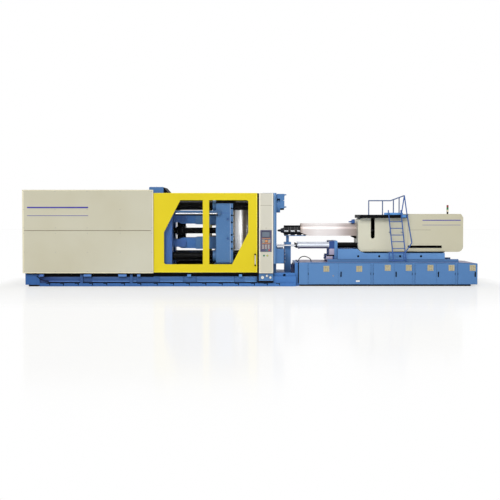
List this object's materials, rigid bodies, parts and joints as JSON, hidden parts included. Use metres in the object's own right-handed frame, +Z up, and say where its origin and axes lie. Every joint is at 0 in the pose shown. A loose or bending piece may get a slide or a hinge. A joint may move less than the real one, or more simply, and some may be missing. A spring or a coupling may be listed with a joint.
{
  "type": "injection moulding machine",
  "caption": "Horizontal double-toggle injection moulding machine with covered clamp, sliding safety doors, control column, injection unit on a cabinet base and a service ladder",
  "frame": {"origin": "on the floor under the middle of the machine's box", "axes": "+X toward the injection unit's end, -Y the operator's side, +Z up"},
  "size_m": [16.92, 3.06, 3.704],
  "materials": {
    "barrel": "satin",
    "barrel_cover": "polished",
    "barrel_stand": "satin",
    "beacon": "gloss",
    "bed_cable": "matte",
    "cabinet_door_1": "satin",
    "cabinet_door_2": "satin",
    "cabinet_door_3": "satin",
    "cabinet_door_4": "satin",
    "cabinet_door_5": "satin",
    "cabinet_door_6": "satin",
    "cabinet_door_7": "satin",
    "carriage_cylinders": "satin",
    "carriage_frame": "satin",
    "carriage_pull_rods": "polished",
    "clamp_bed": "satin",
    "clamp_cylinder": "satin",
    "control_column": "satin",
    "control_panel": "satin",
    "cover_frame": "satin",
    "crosshead": "satin",
    "door_rails": "satin",
    "drive_plate": "satin",
    "ejector_plate": "satin",
    "electric_racks": "satin",
    "emergency_stop": "gloss",
    "end_cover": "satin",
    "fixed_platen": "satin",
    "front_door": "gloss",
    "gauge_box": "satin",
    "grease_pump": "satin",
    "guide_bars": "polished",
    "heater_bands": "satin",
    "height_drive": "satin",
    "hydraulic_pack": "satin",
    "injection_base": "satin",
    "injection_housing": "satin",
    "ladder": "satin",
    "lower_crosshead_links": "satin",
    "lower_front_links": "satin",
    "lower_rear_links": "satin",
    "moving_platen": "satin",
    "nozzle": "satin",
    "platform": "satin",
    "rear_door": "gloss",
    "rear_platen": "satin",
    "release_button": "gloss",
    "safety_bar": "satin",
    "screw": "polished",
    "screw_motor": "satin",
    "side_covers": "satin",
    "start_button": "gloss",
    "stop_button": "gloss",
    "supply_hose": "matte",
    "thrust_block": "satin",
    "tie_bar_nuts": "satin",
    "tie_bars": "polished",
    "upper_crosshead_links": "satin",
    "upper_front_links": "satin",
    "upper_rear_links": "satin"
  },
  "bodies": {
    "frame": {"clamp_bed": "clamp_bed", "fixed_platen": "fixed_platen", "tie_bars": "tie_bars", "tie_bar_nuts": "tie_bar_nuts", "side_covers": "side_covers", "end_cover": "end_cover", "cover_frame": "cover_frame", "door_rails": "door_rails", "control_column": "control_column", "control_panel": "control_panel", "gauge_box": "gauge_box", "injection_base": "injection_base", "hydraulic_pack": "hydraulic_pack", "electric_racks": "electric_racks", "barrel_stand": "barrel_stand", "grease_pump": "grease_pump", "carriage_pull_rods": "carriage_pull_rods", "supply_hose": "supply_hose", "bed_cable": "bed_cable"},
    "back_platen": {"rear_platen": "rear_platen", "height_drive": "height_drive", "clamp_cylinder": "clamp_cylinder"},
    "mould_platen": {"moving_platen": "moving_platen", "guide_bars": "guide_bars", "safety_bar": "safety_bar"},
    "upper_rear_link": {"upper_rear_links": "upper_rear_links"},
    "lower_rear_link": {"lower_rear_links": "lower_rear_links"},
    "upper_front_link": {"upper_front_links": "upper_front_links"},
    "lower_front_link": {"lower_front_links": "lower_front_links"},
    "crosshead": {"crosshead": "crosshead"},
    "upper_cross_link": {"upper_crosshead_links": "upper_crosshead_links"},
    "lower_cross_link": {"lower_crosshead_links": "lower_crosshead_links"},
    "ejector": {"ejector_plate": "ejector_plate"},
    "front_door": {"front_door": "front_door"},
    "rear_door": {"rear_door": "rear_door"},
    "carriage": {"carriage_frame": "carriage_frame", "carriage_cylinders": "carriage_cylinders", "injection_housing": "injection_housing", "thrust_block": "thrust_block", "barrel": "barrel", "nozzle": "nozzle", "heater_bands": "heater_bands", "barrel_cover": "barrel_cover", "platform": "platform", "ladder": "ladder", "beacon": "beacon"},
    "injection_drive": {"drive_plate": "drive_plate", "screw_motor": "screw_motor"},
    "screw": {"screw": "screw"},
    "cabinet_door_1": {"cabinet_door_1": "cabinet_door_1"},
    "cabinet_door_2": {"cabinet_door_2": "cabinet_door_2"},
    "cabinet_door_3": {"cabinet_door_3": "cabinet_door_3"},
    "cabinet_door_4": {"cabinet_door_4": "cabinet_door_4"},
    "cabinet_door_5": {"cabinet_door_5": "cabinet_door_5"},
    "cabinet_door_6": {"cabinet_door_6": "cabinet_door_6"},
    "cabinet_door_7": {"cabinet_door_7": "cabinet_door_7"},
    "start_button": {"start_button": "start_button"},
    "stop_button": {"stop_button": "stop_button"},
    "release_button": {"release_button": "release_button"},
    "emergency_stop": {"emergency_stop": "emergency_stop"}
  },
  "joints": [
    {"name": "height_adjust", "type": "slide", "parent": "frame", "child": "back_platen", "axis": [1, 0, 0], "range_m": [-0.4, 0.35]},
    {"name": "clamp_stroke", "type": "slide", "parent": "back_platen", "child": "mould_platen", "axis": [1, 0, 0], "range_m": [-0.98274, 0]},
    {"name": "upper_rear_pivot", "type": "hinge", "parent": "back_platen", "child": "upper_rear_link", "pos_m": [-3.37, 0, 2.525], "axis": [0, -1, 0], "range_deg": [0, 71.01]},
    {"name": "lower_rear_pivot", "type": "hinge", "parent": "back_platen", "child": "lower_rear_link", "pos_m": [-3.37, 0, 1.595], "axis": [0, 1, 0], "range_deg": [0, 71.01]},
    {"name": "upper_knee", "type": "hinge", "parent": "upper_rear_link", "child": "upper_front_link", "pos_m": [-2.588, 0, 2.525], "axis": [0, 1, 0], "range_deg": [0, 134.26]},
    {"name": "lower_knee", "type": "hinge", "parent": "lower_rear_link", "child": "lower_front_link", "pos_m": [-2.588, 0, 1.595], "axis": [0, -1, 0], "range_deg": [0, 134.26]},
    {"name": "crosshead_slide", "type": "slide", "parent": "back_platen", "child": "crosshead", "axis": [1, 0, 0], "range_m": [-0.38577, 0]},
    {"name": "upper_cross_pivot", "type": "hinge", "parent": "upper_rear_link", "child": "upper_cross_link", "pos_m": [-3.04, 0, 2.525], "axis": [0, 1, 0], "range_deg": [0, 126.21]},
    {"name": "lower_cross_pivot", "type": "hinge", "parent": "lower_rear_link", "child": "lower_cross_link", "pos_m": [-3.04, 0, 1.595], "axis": [0, -1, 0], "range_deg": [0, 126.21]},
    {"name": "ejector_slide", "type": "slide", "parent": "mould_platen", "child": "ejector", "axis": [1, 0, 0], "range_m": [0, 0.2]},
    {"name": "front_door_slide", "type": "slide", "parent": "frame", "child": "front_door", "axis": [1, 0, 0], "range_m": [-3.5, 0]},
    {"name": "rear_door_slide", "type": "slide", "parent": "frame", "child": "rear_door", "axis": [1, 0, 0], "range_m": [-3.5, 0]},
    {"name": "carriage_slide", "type": "slide", "parent": "frame", "child": "carriage", "axis": [1, 0, 0], "range_m": [-0.57, 0.3]},
    {"name": "injection_slide", "type": "slide", "parent": "carriage", "child": "injection_drive", "axis": [1, 0, 0], "range_m": [0, 1.1]},
    {"name": "screw_spin", "type": "hinge", "parent": "injection_drive", "child": "screw", "pos_m": [1.5, 0, 2.06], "axis": [1, 0, 0], "continuous": true},
    {"name": "cabinet_hinge_1", "type": "hinge", "parent": "frame", "child": "cabinet_door_1", "pos_m": [2.142, -1.218, 0.46], "axis": [0, 0, -1], "range_deg": [0, 90]},
    {"name": "cabinet_hinge_2", "type": "hinge", "parent": "frame", "child": "cabinet_door_2", "pos_m": [4.473, -1.218, 0.46], "axis": [0, 0, 1], "range_deg": [0, 90]},
    {"name": "cabinet_hinge_3", "type": "hinge", "parent": "frame", "child": "cabinet_door_3", "pos_m": [4.573, -1.218, 0.46], "axis": [0, 0, -1], "range_deg": [0, 90]},
    {"name": "cabinet_hinge_4", "type": "hinge", "parent": "frame", "child": "cabinet_door_4", "pos_m": [6.02, -1.218, 0.46], "axis": [0, 0, 1], "range_deg": [0, 90]},
    {"name": "cabinet_hinge_5", "type": "hinge", "parent": "frame", "child": "cabinet_door_5", "pos_m": [6.132, -1.218, 0.46], "axis": [0, 0, -1], "range_deg": [0, 90]},
    {"name": "cabinet_hinge_6", "type": "hinge", "parent": "frame", "child": "cabinet_door_6", "pos_m": [7.624, -1.218, 0.46], "axis": [0, 0, 1], "range_deg": [0, 90]},
    {"name": "cabinet_hinge_7", "type": "hinge", "parent": "frame", "child": "cabinet_door_7", "pos_m": [7.728, -1.218, 0.46], "axis": [0, 0, -1], "range_deg": [0, 90]},
    {"name": "start_button_press", "type": "slide", "parent": "frame", "child": "start_button", "axis": [0, 1, 0], "range_m": [0, 0.008], "stiffness_N_per_m": 600, "springref_m": -0.004},
    {"name": "stop_button_press", "type": "slide", "parent": "frame", "child": "stop_button", "axis": [0, 1, 0], "range_m": [0, 0.008], "stiffness_N_per_m": 600, "springref_m": -0.004},
    {"name": "release_button_press", "type": "slide", "parent": "frame", "child": "release_button", "axis": [0, 1, 0], "range_m": [0, 0.008], "stiffness_N_per_m": 600, "springref_m": -0.004},
    {"name": "emergency_stop_press", "type": "slide", "parent": "frame", "child": "emergency_stop", "axis": [0, 1, 0], "range_m": [0, 0.008], "stiffness_N_per_m": 600, "springref_m": -0.004}
  ],
  "couplings": [
    {"joint": "upper_rear_pivot", "follows": "clamp_stroke", "rad_per_m": -1.2609},
    {"joint": "lower_rear_pivot", "follows": "clamp_stroke", "rad_per_m": -1.2609},
    {"joint": "upper_knee", "follows": "clamp_stroke", "rad_per_m": -2.3843},
    {"joint": "lower_knee", "follows": "clamp_stroke", "rad_per_m": -2.3843},
    {"joint": "crosshead_slide", "follows": "clamp_stroke", "ratio": 0.39244},
    {"joint": "upper_cross_pivot", "follows": "clamp_stroke", "rad_per_m": -2.2412},
    {"joint": "lower_cross_pivot", "follows": "clamp_stroke", "rad_per_m": -2.2412}
  ]
}
